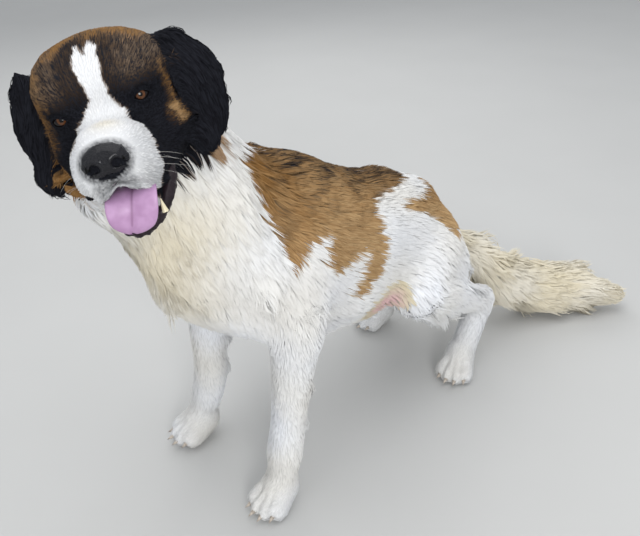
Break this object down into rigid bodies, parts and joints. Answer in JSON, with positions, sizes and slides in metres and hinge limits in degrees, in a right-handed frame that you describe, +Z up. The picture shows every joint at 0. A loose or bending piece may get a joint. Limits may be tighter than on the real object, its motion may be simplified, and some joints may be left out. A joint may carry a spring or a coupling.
{
  "type": "saint bernard",
  "caption": "Life-size long-coated saint bernard, half squatting on straight forelegs, head turned to its left with the tongue out, bushy tail laid along the floor.",
  "frame": {"origin": "middle of the dog's bounding box at floor level", "axes": "+Z up, -Y the way the body faces, +X the dog's left"},
  "size_m": [0.5204, 1.2974, 0.8939],
  "materials": {
    "coat_face": "short dense fur, black masks and white blaze",
    "coat_white": "long soft fur",
    "coat_cream": "long wavy fur",
    "coat_tan": "long soft fur with darker streaks",
    "coat_dark": "short silky fur",
    "nose": "damp, pebbled",
    "lip": "damp",
    "tongue": "wet",
    "tooth": "enamel",
    "eye": "wet and clear"
  },
  "bodies": {
    "root": {"head": "coat_face", "eye_left": "eye", "eye_right": "eye", "nose": "nose", "lower_jaw": "lip", "canine_left": "tooth", "tongue": "tongue", "ear_left": "coat_dark", "ear_right": "coat_dark", "neck": "coat_white", "chest": "coat_white", "loin": "coat_tan", "rump": "coat_tan", "foreleg_left": "coat_white", "forepaw_left": "coat_white", "foreleg_right": "coat_white", "forepaw_right": "coat_white", "thigh_left": "coat_white", "hind_leg_left": "coat_white", "hock_left": "coat_white", "hindpaw_left": "coat_white", "thigh_right": "coat_white", "hind_leg_right": "coat_white", "hock_right": "coat_white", "hindpaw_right": "coat_white", "tail_root": "coat_cream", "tail": "coat_cream"}
  },
  "joints": []
}
